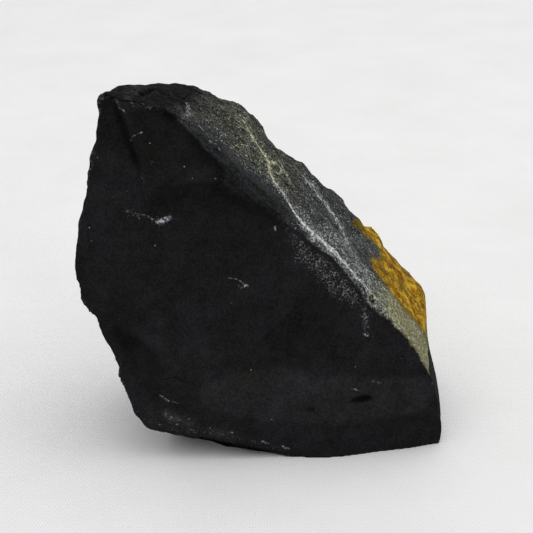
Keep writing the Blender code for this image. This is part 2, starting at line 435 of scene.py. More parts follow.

# Where the front, then the crust, is darker or lighter: its own tones and dust, and painted shade and light.
SHADES = (
    # The scoop and the right scar darken their dropped sides as painted shade.
    SCOOP,
    RIGHT_SCAR,
    # Painted shade on the upper facet, right of the shoulder's wall, which faces away from the light.
    Shade(front(
        (-25.2, 67.6), (-19.0, 66.0), (-13.2, 61.9), (-9.0, 59.0), (-7.5, 57.0), (-12.0, 55.5),
        (-18.0, 56.0), (-23.2, 57.0), (-24.6, 61.0)
    ), 0.84, 1.3),
    # Painted shade in a dark patch just below the scoop's rim.
    Shade(front((-20.9, 50.2), (-18.6, 51.9), (-16.0, 51.9), (-15.6, 49.0), (-19.8, 48.8)), 0.85, 1.0),
    # Painted shade on the shoulder's wall, in the hollow corner under the upper facet.
    Shade(front(
        (-27.2, 67.8), (-26.2, 65.7), (-25.4, 63.8), (-24.9, 62.0), (-24.5, 60.7), (-23.9, 59.4),
        (-23.4, 58.0), (-23.1, 55.6), (-24.3, 57.0), (-25.1, 58.8), (-25.8, 60.4), (-26.3, 62.2),
        (-26.9, 64.0), (-27.5, 66.0)
    ), 0.42, 0.8),
    Shade(front((-33.5, 67.0), (-28.5, 69.0), (-26.5, 62.0), (-25.0, 57.5), (-33.0, 60.0)), 0.85, 1.0),
    # Painted shade on the low scar's wall, under its lip.
    Shade(front(
        (-28.4, 27.1), (-26.1, 26.7), (-24.2, 25.2), (-22.9, 23.7), (-23.6, 22.6), (-26.2, 22.3),
        (-27.9, 23.0), (-29.0, 25.2)
    ), 0.72, 0.7),
    Shade(front((-29.0, 26.0), (-24.0, 25.0), (-20.0, 19.0), (-20.5, 15.0), (-25.5, 17.0)), 0.9, 1.2),
    Shade(front((-18.6, 10.4), (-16.4, 9.9), (-15.6, 8.4), (-18.0, 8.0)), 1.7, 1.1),
    Shade(front((-14.8, 8.6), (-13.4, 8.3), (-13.6, 7.0), (-15.0, 7.4)), 1.6, 0.9),
    Shade(front((-9.8, 6.6), (-7.6, 5.9), (-8.4, 5.2), (-10.0, 5.8)), 1.6, 0.9),
    # Painted shadow along the front's foot, where the stone overhangs the cloth.
    Shade(front((-12.5, 5.0), (-7.6, 4.1), (-2.9, 2.9), (1.0, 1.4), (1.0, -1.0), (-12.5, -1.0)), 0.25, 0.4),
    Shade(front(
        (-23.0, 11.0), (-18.0, 11.0), (-12.0, 8.0), (-5.0, 6.4), (-5.0, 3.0), (-22.0, 7.0)
    ), 1.45, 1.4),
    # Painted light on the facet right of the low scar's wall, which faces the light.
    Shade(front(
        (-22.8, 26.0), (-21.8, 23.8), (-20.8, 21.7), (-19.4, 19.2), (-16.0, 19.0), (-17.4, 22.8),
        (-20.1, 25.0)
    ), 1.25, 0.7),
    Shade(front(
        (9.8, 33.2), (6.3, 29.9), (1.7, 25.8), (2.0, 22.6), (6.1, 20.3), (12.6, 18.3), (14.2, 21.7),
        (13.9, 26.0), (11.4, 30.0)
    ), 0.90, 0.6),
    # Painted reflection of the bright cloth on the lower band, which tilts down.
    Shade(front(
        (2.0, 19.2), (7.7, 18.0), (12.1, 16.6), (19.8, 16.3), (31.5, 15.1), (33.0, 9.5), (28.0, 7.5),
        (14.0, 7.0), (0.0, 8.0), (-9.0, 10.5), (-13.0, 14.0), (-7.0, 17.6)
    ), 1.55, 1.0),
    Shade(front(
        (-19.0, 25.0), (-10.0, 25.0), (-1.0, 20.0), (-2.0, 13.0), (-12.0, 10.0), (-19.0, 17.0)
    ), 1.18, 2.5),
    Shade(front((13.2, 16.4), (16.3, 16.4), (16.2, 13.6), (13.4, 13.9)), 1.1, 0.5),
    # Painted shade in the long pit.
    Shade(front((16.1, 11.3), (17.9, 12.2), (20.0, 12.5), (21.4, 11.5), (19.0, 11.0)), 0.25, 0.3),
    # Painted shade in the small pit.
    Shade(front((8.3, 9.8), (8.6, 10.7), (9.8, 10.7), (9.9, 9.8)), 0.5, 0.4),
    Shade(crust(
        (-8.0, -10.0), (9.0, -10.0), (13.0, -3.0), (12.5, 4.0), (16.0, 20.0), (-8.0, 20.0)
    ), 0.19, 1.6),
    Shade(crust((1.2, 3.0), (4.9, 1.6), (4.4, -0.4), (3.3, -1.2), (2.4, -5.6), (0.6, -5.6)), 2.3, 0.35),
    # Painted shade in the slit of the crust's top.
    Shade(crust(
        (3.0, -1.7), (4.2, -1.9), (4.9, -0.2), (5.5, 1.5), (4.8, 1.6), (4.2, -0.1), (3.6, -1.0)
    ), 0.2, 0.25),
    Shade(crust((8.6, -4.6), (12.0, -4.9), (13.4, -1.6), (10.4, -1.0)), 3.2, 0.9),
    Shade(crust(
        (31.0, 6.0), (38.0, 1.0), (44.0, 6.5), (52.0, 3.0), (52.5, 8.0), (50.0, 20.0), (24.0, 20.0)
    ), 0.72, 1.2),
    Shade(crust(
        (33.0, -2.0), (37.0, 0.0), (43.0, 4.0), (50.0, 1.5), (53.0, -3.0), (44.0, -5.5)
    ), 0.85, 1.0),
)

# Pale seam lines and grains of the crust, and painted highlights along the ridge.
CREAM_LINE = crust(
    (22.5, 6.9), (23.6, 6.6), (24.9, 5.2), (26.8, 3.6), (29.5, 2.1), (30.8, 0.9), (31.8, -1.6),
    (33.5, -3.7), (35.8, -4.7), (37.8, -5.8), (40.2, -7.4), (42.1, -8.3), (44.6, -9.1)
)
BAND_LINE = crust(
    (41.5, -8.3), (44.9, -8.9), (47.5, -8.6), (50.6, -8.6), (53.4, -9.4), (56.5, -10.6), (63.0, -11.8),
    (70.0, -13.0)
)
FAINT_LINE = crust(
    (39.8, 7.0), (42.5, 6.8), (44.7, 5.8), (47.7, 5.1), (49.6, 4.3), (51.6, 1.4), (52.8, -1.6),
    (54.9, -2.7)
)
LOOP_LINE = crust((30.9, 1.0), (32.6, 2.9), (34.0, 1.8), (33.7, -0.6))
SPUR_LINE = crust((32.6, 4.6), (34.2, 3.0), (35.3, 1.8), (37.4, 0.2))
GREY_LINE = crust((50.0, -3.5), (56.0, -5.5), (62.0, -7.0), (68.0, -9.0))
LOW_LINE = crust((66.0, -8.5), (72.0, -9.5), (79.0, -10.0), (90.0, -8.0))
GRAIN_LINES = (
    Grains(CREAM_LINE, 0.60, 0.1, 1.0),
    Grains(CREAM_LINE, 0.38, 0.8, 5.0),
    Grains(BAND_LINE, 0.56, 0.4, 2.0),
    Grains(BAND_LINE, 0.44, 2.2, 6.0),
    Grains(FAINT_LINE, 0.56, 0.3, 1.2),
    Grains(FAINT_LINE, 0.40, 0.8, 4.0),
    Grains(LOOP_LINE, 0.46, 0.15, 1.5),
    Grains(SPUR_LINE, 0.44, 0.2, 1.5),
    Grains(GREY_LINE, 0.44, 2.0, 4.0),
    Grains(LOW_LINE, 0.48, 4.0, 5.0),
    Grains(crust((13.0, -5.0), (12.2, -3.0), (12.1, -0.4), (11.4, 0.8)), 0.345, 0.15, 0.9),
)
SEAMS_AND_RIDGE_HIGHLIGHTS = (
    Stroke(CREAM_LINE, (0.0, 0.10, 0.10, 0.12, 0.22, 0.16, 0.12, 0.16, 0.26, 0.34, 0.3)),
    Stroke(BAND_LINE, (0.2, 0.62, 0.62, 0.24, 0.02, -0.06, -0.1)),
    Stroke(FAINT_LINE, (-0.1, -0.02, 0.02, 0.04, 0.06, 0.03, -0.1)),
    Stroke(LOOP_LINE, (0.0, 0.07, 0.07, 0.0)),
    # Painted highlight along the ridge's edge, below the top.
    Stroke(crust(
        (13.8, -2.9), (15.2, -3.9), (16.7, -4.5), (18.4, -5.6), (21.1, -6.6)
    ), (-0.08, -0.02, -0.04, -0.03, -0.10)),
    # Painted highlight along the ridge's edge, at the top.
    Stroke(crust((3.9, -5.4), (5.4, -5.3), (7.4, -4.7)), (-0.10, -0.03, -0.10)),
    Stroke(crust((11.3, -0.6), (12.2, -1.9), (13.3, -3.2)), (-0.08, 0.02, -0.06)),
)

# The stained and pale parts of the crust, and the sugary part of the front.
RUST_PATCH = crust(
    (55.0, 13.0), (53.8, 9.0), (53.0, 6.4), (54.6, 6.2), (57.4, 6.8), (59.9, 9.4), (61.9, 8.4),
    (62.3, 6.2), (60.8, 3.2), (59.2, 1.8), (60.0, -1.3), (61.5, -2.7), (65.1, -3.5), (69.2, -4.4),
    (74.0, -4.0), (76.8, -3.4), (78.4, -1.0), (79.8, 4.0), (80.0, 10.0), (76.0, 24.0), (56.0, 24.0)
)
OLIVE_PATCHES = (
    crust((52.0, 5.0), (55.6, 5.8), (57.0, 9.0), (57.0, 16.0), (50.0, 16.0)),
    crust((74.9, 12.0), (75.6, 14.4), (77.6, 14.0), (77.8, 11.6), (76.0, 10.8)),
)
PALE_PATCH = crust(
    (64.0, -5.0), (66.0, -14.0), (73.0, -16.0), (95.0, -18.0), (95.0, 16.0), (81.0, 14.0), (79.6, 4.0),
    (77.0, -2.4), (72.0, -3.6)
)
SUGAR_PATCH = front(
    (2.0, 47.2), (2.4, 45.0), (4.4, 41.8), (6.0, 37.9), (8.6, 36.0), (10.4, 33.9), (12.8, 31.0),
    (15.8, 29.6), (17.8, 28.0), (18.4, 26.0), (18.7, 23.3), (20.9, 23.3), (20.8, 26.5), (21.4, 29.0),
    (19.0, 32.0), (16.5, 35.0), (11.6, 39.5), (9.6, 41.3), (6.8, 43.7), (3.6, 47.4)
)

# Rubbed marks, dots and dust on the front, with painted highlights on some rubs and along the ridge's edge.
RUBS_AND_HIGHLIGHTS = (
    Stroke(front((-24.6, 60.6), (-24.3, 61.5), (-23.6, 62.1), (-22.3, 62.4)), (-0.06, 0.0, -0.04, 0.03)),
    Stroke(front((-25.4, 48.4), (-22.0, 47.7), (-20.4, 46.7)), (-0.14, -0.08, 0.04)),
    # A pale chip, with a painted highlight on its face that looks up.
    Stroke(front((-20.0, 46.2), (-18.8, 46.5), (-17.4, 46.8)), (0.22, 0.42, 0.3)),
    Stroke(front((-7.4, 35.8), (-4.9, 35.3), (-3.1, 34.3)), (-0.1, -0.05, 0.02)),
    Stroke(front((-4.4, 33.7), (-3.4, 34.1), (-2.6, 34.2)), (0.02, 0.11, 0.0)),
    Stroke(front((-19.8, 13.6), (-18.2, 12.7), (-16.2, 12.3)), (0.0, 0.03, -0.05)),
    # Painted highlight on a small facet by the top.
    Stroke(front((-26.9, 67.2), (-25.5, 66.4), (-25.2, 66.1)), (-0.1, -0.05, 0.04)),
    Stroke(front((2.3, 44.3), (2.2, 43.2)), (0.08, 0.10)),
    # This and the next are painted highlights on the lower band.
    Stroke(front((20.9, 15.3), (22.8, 14.7)), (0.02, -0.04)),
    Stroke(front((16.8, 14.2), (18.7, 13.5)), (-0.08, 0.0, -0.06)),
    Stroke(front((-6.5, 6.4), (-5.6, 5.6)), (0.06, 0.02)),
    Stroke(front((-0.4, 3.8), (1.2, 3.1)), (0.0, 0.08, -0.05)),
    Stroke(front((3.2, 2.8), (5.4, 1.9)), (-0.05, 0.08, 0.0)),
    Stroke(front((18.9, 24.2), (20.2, 23.6)), (0.12, 0.05)),
)
DOTS = (
    (-21.0, 60.3), (-14.7, 55.9), (-10.8, 55.7), (-13.2, 53.8), (-8.9, 53.6), (-30.7, 57.9), (-20.2, 42.1),
    (-32.0, 43.3), (-32.3, 45.8), (-14.2, 9.0), (-2.3, 18.7), (10.1, 26.0), (7.7, 27.2), (17.6, 18.3),
    (26.5, 19.4), (1.6, 8.4), (-16.6, 7.8), (-10.2, 7.0)
)
DUSTS_AND_EDGE_HIGHLIGHT = (
    Grains(front((-25.1, 48.3), (-20.4, 46.9)), 0.24, 0.4, 0.6),
    Grains(front((-28.6, 50.4), (-24.9, 52.3)), 0.14, 0.1, 0.5),
    Grains(front((-19.6, 46.3), (-17.6, 46.7)), 0.5, 0.4, 0.4),
    Grains(front((-18.3, 9.8), (-16.6, 8.4)), 0.34, 0.7, 0.6),
    Grains(front(
        (-23.6, 10.6), (-22.1, 8.4), (-18.3, 7.0), (-13.9, 6.3), (-10.1, 5.9), (-5.7, 5.0), (0.0, 3.2),
        (5.0, 1.8)
    ), 0.24, 0.3, 0.6),
    # Painted highlight along the ridge's edge, laid as pale grains.
    Grains(front(
        (-24.6, 67.8), (-22.8, 67.2), (-20.8, 66.4), (-19.0, 66.1), (-18.2, 65.6), (-16.7, 64.2),
        (-15.1, 63.4), (-13.2, 61.9), (-10.3, 60.0)
    ), 0.38, 0.12, 0.4),
    Grains(front((-20.6, 56.9), (-19.3, 57.1)), 0.22, 0.2, 0.4),
    # Painted highlight along the ridge's edge further down, laid as pale grains.
    Grains(front((-10.3, 60.0), (-7.7, 57.6), (-5.3, 55.8), (-2.9, 52.6)), 0.26, 0.5, 0.9),
)
# Strokes along the cracks, where the colour is darkened as painted shade in their grooves.
CRACK_SHADE_STROKES = tuple(
    Stroke(line, (0.0, half, half, 0.0))
    for line, half in ((RIGHT_CRACK, 0.07), (LOW_CRACK, 0.14), (LOW_CRACK_SPUR, 0.08), (UPRIGHT_CRACK, 0.08))
)


def add_object(name: str, data: bpy.types.ID) -> bpy.types.Object:
    """Puts a new object in the scene.

    Args:
        name: What it is called.
        data: Its mesh, light or camera.

    Returns:
        The object.
    """
    made = bpy.data.objects.new(name, data)
    bpy.context.scene.collection.objects.link(made)
    return made


def settled(piece: bpy.types.Object) -> bpy.types.Mesh:
    """Works a piece's modifiers out, and returns the mesh that they make."""
    bpy.context.view_layer.update()
    return bpy.data.meshes.new_from_object(piece.evaluated_get(bpy.context.evaluated_depsgraph_get()))


def read(parts: bpy.types.bpy_prop_collection, name: str, columns: int = 3, kind: type = float) -> Array:
    """Reads one property of all the parts of a mesh.

    Args:
        parts: The parts, such as the mesh's vertices.
        name: The property.
        columns: How many numbers it has.
        kind: What kind of numbers.

    Returns:
        The numbers, with a row for each part.
    """
    flat = np.empty(len(parts) * columns, kind)
    parts.foreach_get(name, flat)
    return flat.reshape(-1, columns)


@dataclass
class Skin:
    """The fine net over the stone, with its places, its normals and what it is near.

    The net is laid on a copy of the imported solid, smoothed away from the solid's own edges, and then
    raised and sunk by the stone's marks.
    """

    source: bpy.types.Object
    voxel: float = 0.36
    crease: float = 45.0
    edge_gap: float = 0.3
    rounds: int = 60
    soft_rounds: int = 10
    edge_reach: Span = (0.25, 1.3)
    edge_share: float = 0.06
    pace: float = 0.5
    foot: float = 0.3
    held: Span = (0.15, 1.2)
    mesh: bpy.types.Mesh = field(init=False)
    places: Array = field(init=False)
    pairs: Array = field(init=False)
    degree: Array = field(init=False)
    edge_distance: Array = field(init=False)
    looks: Array = field(init=False)
    soft_looks: Array = field(init=False)

    def lay(self) -> None:
        """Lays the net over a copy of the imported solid, and notes what is joined and near an edge."""
        bm = bmesh.new()
        bm.from_mesh(self.source.data)
        bmesh.ops.remove_doubles(bm, verts=bm.verts, dist=1e-6)
        bm.normal_update()
        edges = self.edge_tree(bm)
        block = bpy.data.meshes.new("block")
        bm.to_mesh(block)
        bm.free()
        blank = add_object("block", block)
        net = blank.modifiers.new("net", "REMESH")
        net.mode = "VOXEL"
        net.voxel_size = self.voxel * MM
        self.mesh = settled(blank)
        bpy.data.objects.remove(blank)
        bpy.data.meshes.remove(block)
        self.places = read(self.mesh.vertices, "co") / MM
        self.pairs = read(self.mesh.edges, "vertices", 2, np.int32)
        self.degree = np.bincount(self.pairs.ravel(), minlength=len(self.places)).astype(float)
        self.edge_distance = np.array([edges.find(place)[2] for place in self.places])

    def edge_tree(self, bm: bmesh.types.BMesh) -> KDTree:
        """Notes points along the solid's sharp edges.

        Args:
            bm: The solid, with its corners joined.

        Returns:
            The points, ready to be searched, in millimetres.
        """
        points = []
        for edge in bm.edges:
            if len(edge.link_faces) == 2 and edge.calc_face_angle(0.0) > math.radians(self.crease):
                a, b = (vert.co / MM for vert in edge.verts)
                count = max(2, math.ceil((b - a).length / self.edge_gap))
                points += [a.lerp(b, i / (count - 1)) for i in range(count)]
        tree = KDTree(len(points))
        for index, point in enumerate(points):
            tree.insert(point, index)
        tree.balance()
        return tree

    def mean(self, values: Array) -> Array:
        """Works out the mean of each corner's neighbours.

        Args:
            values: A number or a row of numbers for each corner.

        Returns:
            The means, in the same shape.
        """
        a, b = self.pairs.T
        count = len(values)
        columns = values.reshape(count, -1).T
        sums = [np.bincount(a, column[b], count) + np.bincount(b, column[a], count) for column in columns]
        return (np.stack(sums, axis=1) / self.degree[:, None]).reshape(values.shape)

    def smooth(self) -> None:
        """Smooths the net, least at the solid's edges, and keeps the foot flat."""
        share = self.edge_share + (1 - self.edge_share) * ease(self.edge_distance, *self.edge_reach)
        foot = self.places[:, 2] < self.foot
        for _ in range(self.rounds):
            moved = self.places + (self.mean(self.places) - self.places) * (share * self.pace)[:, None]
            moved[foot, 2] = self.places[foot, 2]
            self.places = moved
        self.measure_looks()

    def measure_looks(self) -> None:
        """Measures each corner's normal, and the same smoothed over about 2 mm."""
        self.store()
        self.looks = read(self.mesh.vertex_normals, "vector")
        soft = self.looks.copy()
        for _ in range(self.soft_rounds):
            soft = self.mean(soft)
        self.soft_looks = soft / np.linalg.norm(soft, axis=1)[:, None]

    def bends(self) -> Array:
        """How sharply the net bends outwards at each corner, smoothed; below 0 in a hollow."""
        bend = ((self.places - self.mean(self.places)) * self.looks).sum(axis=1)
        return self.mean(self.mean(bend)) / (self.voxel * self.voxel)

    def store(self) -> None:
        """Gives the mesh the net's places, with nothing below the floor."""
        self.places[:, 2] = np.maximum(self.places[:, 2], 0.0)
        self.mesh.vertices.foreach_set("co", (self.places * MM).ravel())
        self.mesh.update()

    def raise_by(self, lift: Array) -> None:
        """Moves each corner along its normal, except at the foot.

        Args:
            lift: How far to move each corner, in millimetres.
        """
        held = ease(self.places[:, 2], *self.held)
        self.places = self.places + self.soft_looks * (lift * held)[:, None]
        self.measure_looks()

    def keep(self, name: str, values: Array) -> None:
        """Keeps one number for each corner under a name, for the finishes to read."""
        layer = self.mesh.attributes.new(name, "FLOAT", "POINT")
        layer.data.foreach_set("value", np.ascontiguousarray(values, np.float32))


class Mark(Enum):
    """What the skin keeps a number of at each corner, for the finishes to read."""

    CRUST = "crust"
    RUST = "rust"
    OLIVE = "olive"
    PALE = "pale"
    CREAMY = "creamy"
    EVEN = "even"
    GRAINS = "grains"
    SUGAR = "sugar"
    TONE = "tone"
    SEAM = "seam"
    RUB = "rub"
    CRACK = "crack"
    DOT = "dot"
    CONVEX = "convex"

    @property
    def half(self) -> str:
        """The name that a stroke's or a dot's half-width is kept under."""
        return self.value + "_half"

    @property
    def up(self) -> str:
        """The name that the height above the nearest dot is kept under."""
        return self.value + "_up"


@dataclass(frozen=True)
class Finish:
    """How a surface looks: two colours that it wanders between, how dull it is, and its grain's height."""

    dark: Colour
    light: Colour
    rough: float
    grain: float


FRESH = Finish((0.0100, 0.0100, 0.0095), (0.0137, 0.0134, 0.0156), 0.85, 0.010)
GREY_CRUST = Finish(tint(10, 11, 15), tint(80, 81, 80), 0.70, 0.03)
PALE_CRUST = Finish(tint(78, 74, 44), tint(122, 115, 74), 0.82, 0.05)
WHITE_GRAIN = Finish(tint(92, 95, 96), tint(180, 183, 182), 0.80, 0.06)
CREAM_GRAIN = Finish(tint(96, 97, 76), tint(172, 171, 136), 0.80, 0.06)
WHITE_SEAM_AND_HIGHLIGHT = Finish(tint(118, 120, 120), tint(214, 216, 214), 0.80, 0.07)
CREAM_SEAM_AND_HIGHLIGHT = Finish(tint(118, 118, 92), tint(206, 204, 168), 0.80, 0.07)
SUGAR = Finish(tint(44, 44, 46), tint(118, 119, 120), 0.75, 0.04)
RUB = Finish(tint(52, 52, 60), tint(188, 189, 200), 0.60, 0.02)
RUST = Finish(tint(112, 80, 10), tint(212, 174, 58), 0.85, 0.07)
ORANGE = Finish(tint(66, 40, 8), tint(164, 100, 12), 0.85, 0.07)
OLIVE = Finish(tint(56, 52, 22), tint(98, 92, 42), 0.85, 0.06)
BLUE_TINT = (0.84, 0.89, 1.06)
WARM_TINT = (1.0, 1.0, 0.72)


class Bench:
    """Places nodes in one shader tree and joins them.

    What its methods take is an output or a plain value, and what they return is an output.
    """

    def __init__(self, tree: bpy.types.NodeTree) -> None:
        """Starts on a tree, as it is."""
        self.tree = tree

    def feed(self, socket: Socket, value: object) -> None:
        """Joins an output to a socket, or sets the socket's own value.

        Args:
            socket: The socket.
            value: The output or the value.
        """
        if isinstance(value, bpy.types.NodeSocket):
            self.tree.links.new(value, socket)
        elif isinstance(value, tuple) and socket.type == "RGBA":
            socket.default_value = (*value[:3], 1.0)
        else:
            socket.default_value = value

    def feed_all(self, sockets: Sequence[Socket], fed: Fed) -> None:
        """Feeds the sockets that are named or numbered."""
        for name, value in fed.items():
            self.feed(sockets[name], value)

    def node(self, kind: str, fed: Fed | None = None, **settings: object) -> bpy.types.Node:
        """Adds a node.

        Args:
            kind: Blender's name of the node.
            fed: What its sockets are fed.
            settings: What is set on it before.

        Returns:
            The node.
        """
        node = self.tree.nodes.new(kind)
        for name, value in settings.items():
            setattr(node, name, value)
        self.feed_all(node.inputs, fed or {})
        return node

    def sum(self, operation: str, *values: object, clamp: bool = False) -> Socket:
        """Works out one step of arithmetic, such as DIVIDE, and keeps it from 0 to 1 where clamp says so."""
        return self.node(
            "ShaderNodeMath", dict(enumerate(values)), operation=operation, use_clamp=clamp
        ).outputs[0]

    def times(self, one: object, other: object) -> Socket:
        """The product of two numbers, such as where two masks agree."""
        return self.sum("MULTIPLY", one, other)

    def plus(self, one: object, other: object) -> Socket:
        """The sum of two numbers."""
        return self.sum("ADD", one, other)

    def less(self, one: object, other: object) -> Socket:
        """One number less the other."""
        return self.sum("SUBTRACT", one, other)

    def mixed(self, one: Socket, share: float, other: Socket, other_share: float) -> Socket:
        """The sum of two outputs, each with its share."""
        return self.plus(self.times(one, share), self.times(other, other_share))

    def step(self, value: object, low: object, high: object, start: float = 0.0, end: float = 1.0) -> Socket:
        """Steps smoothly from start, where the value is low, to end, where it is high."""
        fed = dict(enumerate((value, low, high, start, end)))
        return self.node("ShaderNodeMapRange", fed, interpolation_type="SMOOTHSTEP").outputs["Result"]

    def blend(self, share: object, under: object, over: object, way: str = "MIX") -> Socket:
        """Lays a share of one colour over another, in one of Blender's ways to mix."""
        fed = {"Factor": share, "A": under, "B": over}
        return self.node("ShaderNodeMix", fed, data_type="RGBA", blend_type=way).outputs["Result"]

    def level(self, share: object, under: object, over: object) -> Socket:
        """The number that lies a share of the way between two others."""
        fed = {"Factor": share, "A": under, "B": over}
        return self.node("ShaderNodeMix", fed, data_type="FLOAT").outputs["Result"]

    def kept(self, name: str) -> Socket:
        """Reads what the skin keeps under a name."""
        return self.node("ShaderNodeAttribute", attribute_type="GEOMETRY", attribute_name=name).outputs["Fac"]

    def scaled(self, vector: object, gain: object) -> Socket:
        """A place or a colour times a number."""
        return self.node("ShaderNodeVectorMath", {0: vector, "Scale": gain}, operation="SCALE").outputs[0]

    def place(self) -> Socket:
        """Where each point of the object is, in millimetres."""
        return self.scaled(self.node("ShaderNodeTexCoord").outputs["Object"], 1 / MM)

    def cloud(self, place: Socket, size: object, detail: object) -> Socket:
        """Adds noise.

        Args:
            place: Where it is read, in millimetres.
            size: The size of its clouds.
            detail: How much finer noise is in it.

        Returns:
            The noise, around 0.5.
        """
        read_at = self.scaled(place, self.sum("DIVIDE", 1.0, size))
        fed = {"Vector": read_at, "Scale": 1.0, "Detail": detail, "Roughness": 0.6}
        return self.node("ShaderNodeTexNoise", fed, noise_dimensions="3D").outputs["Fac"]

    def effect(self, group: bpy.types.NodeTree, **fed: object) -> Socket:
        """Places an effect, with what its inputs are fed."""
        return self.node("ShaderNodeGroup", fed, node_tree=group).outputs[0]

    def feed_shader(self, colour: Socket, rough: object, height: Socket, shine: float) -> None:
        """Feeds the material's shader.

        Args:
            colour: The surface's colour.
            rough: How dull it is.
            height: Its fine relief, in millimetres.
            shine: How strongly it reflects.
        """
        bump = self.node("ShaderNodeBump", {"Distance": MM, "Height": height})
        shader = self.tree.nodes["Principled BSDF"]
        shader.inputs["Specular IOR Level"].default_value = shine
        self.feed_all(shader.inputs, {"Base Color": colour, "Roughness": rough, "Normal": bump.outputs[0]})


Inputs = Mapping[str, Socket]


def new_effect(name: str, build: Callable[[Bench, Inputs], Socket], **inputs: float) -> bpy.types.NodeTree:
    """Makes a node group with named inputs, a Place first, and one output, a value from 0 to 1.

    Args:
        name: What the effect is called.
        build: Adds the effect's nodes on the bench, from the inputs, and returns its output.
        inputs: Its other inputs and what each starts at.

    Returns:
        The group.
    """
    group = bpy.data.node_groups.new(name, "ShaderNodeTree")
    group.interface.new_socket("Place", in_out="INPUT", socket_type="NodeSocketVector")
    for title, start in inputs.items():
        socket = group.interface.new_socket(title, in_out="INPUT", socket_type="NodeSocketFloat")
        socket.default_value = start
    group.interface.new_socket("Value", in_out="OUTPUT", socket_type="NodeSocketFloat")
    bench = Bench(group)
    given = bench.node("NodeGroupInput").outputs
    taken = bench.node("NodeGroupOutput").inputs
    bench.feed(taken[0], build(bench, given))
    return group


def mottle(bench: Bench, given: Inputs) -> Socket:
    """Clouds of one size, from 0 to 1."""
    return contrasted(bench, bench.cloud(given["Place"], given["Size"], given["Detail"]), given["Contrast"])


def contrasted(bench: Bench, cloud: Socket, contrast: Socket) -> Socket:
    """Spreads a cloud over 0 to 1, by a contrast."""
    pushed = bench.times(bench.less(cloud, 0.5), contrast)
    return bench.sum("ADD", bench.times(pushed, 2.5), 0.5, clamp=True)


def ragged(bench: Bench, given: Inputs) -> Socket:
    """Finds the inside of a mark, with a ragged edge.

    Args:
        bench: The effect's bench.
        given: The effect's inputs; Size, Detail, Reach and Soft say what the edge is like.

    Returns:
        The mask, 1 inside.
    """
    cloud = bench.cloud(given["Place"], given["Size"], given["Detail"])
    pushed = bench.times(bench.less(cloud, 0.5), bench.times(given["Reach"], 5.0))
    return bench.step(bench.plus(given["Depth"], pushed), bench.times(given["Soft"], -1.0), given["Soft"])


def dusting(bench: Bench, given: Inputs) -> Socket:
    """Adds grains in clumps.

    Args:
        bench: The effect's bench.
        given: The effect's inputs; Cover says how densely the grains lie.

    Returns:
        The mask, 1 on a grain.
    """
    fine = bench.cloud(given["Place"], given["Size"], 1.0)
    clump = bench.cloud(given["Place"], bench.times(given["Size"], 4.3), 2.0)
    cover = bench.times(bench.less(given["Cover"], 0.5), 0.52)
    value = bench.plus(bench.mixed(fine, 0.68, clump, 0.32), cover)
    return bench.step(value, bench.less(0.5, given["Soft"]), bench.plus(0.5, given["Soft"]))


def fibres(bench: Bench, given: Inputs) -> Socket:
    """Adds streaks along the crust's ridge.

    Args:
        bench: The effect's bench.
        given: The effect's inputs; Length and Width are a streak's.

    Returns:
        The streaks, from 0 to 1.
    """
    drawn = bench.node("ShaderNodeCombineXYZ")
    ways = ((DOWN_RIDGE, "Length"), ((0.0, 1.0, 0.0), "Width"), (OFF_RIDGE, "Width"))
    for socket, (way, size) in zip(drawn.inputs, ways):
        run = bench.node("ShaderNodeVectorMath", {0: given["Place"], 1: way}, operation="DOT_PRODUCT")
        bench.feed(socket, bench.sum("DIVIDE", run.outputs["Value"], given[size]))
    return contrasted(bench, bench.cloud(drawn.outputs[0], 1.0, 3.0), given["Contrast"])


class Effects:
    """The effects that the finishes share, each a node group built once."""

    def __init__(self) -> None:
        """Builds every effect."""
        self.mottle = new_effect("mottle", mottle, Size=1.0, Detail=3.0, Contrast=1.0)
        self.ragged = new_effect("ragged", ragged, Depth=0.0, Size=1.0, Detail=4.0, Reach=0.5, Soft=0.2)
        self.dusting = new_effect("dusting", dusting, Cover=0.5, Size=0.4, Soft=0.06)
        self.fibres = new_effect("fibres", fibres, Width=0.4, Length=6.0, Contrast=1.0)


def new_material(name: str) -> tuple[bpy.types.Material, Bench]:
    """Makes a material.

    Args:
        name: What it is called.

    Returns:
        The material, and a bench for its nodes.
    """
    material = bpy.data.materials.new(name)
    material.use_nodes = True
    return material, Bench(material.node_tree)


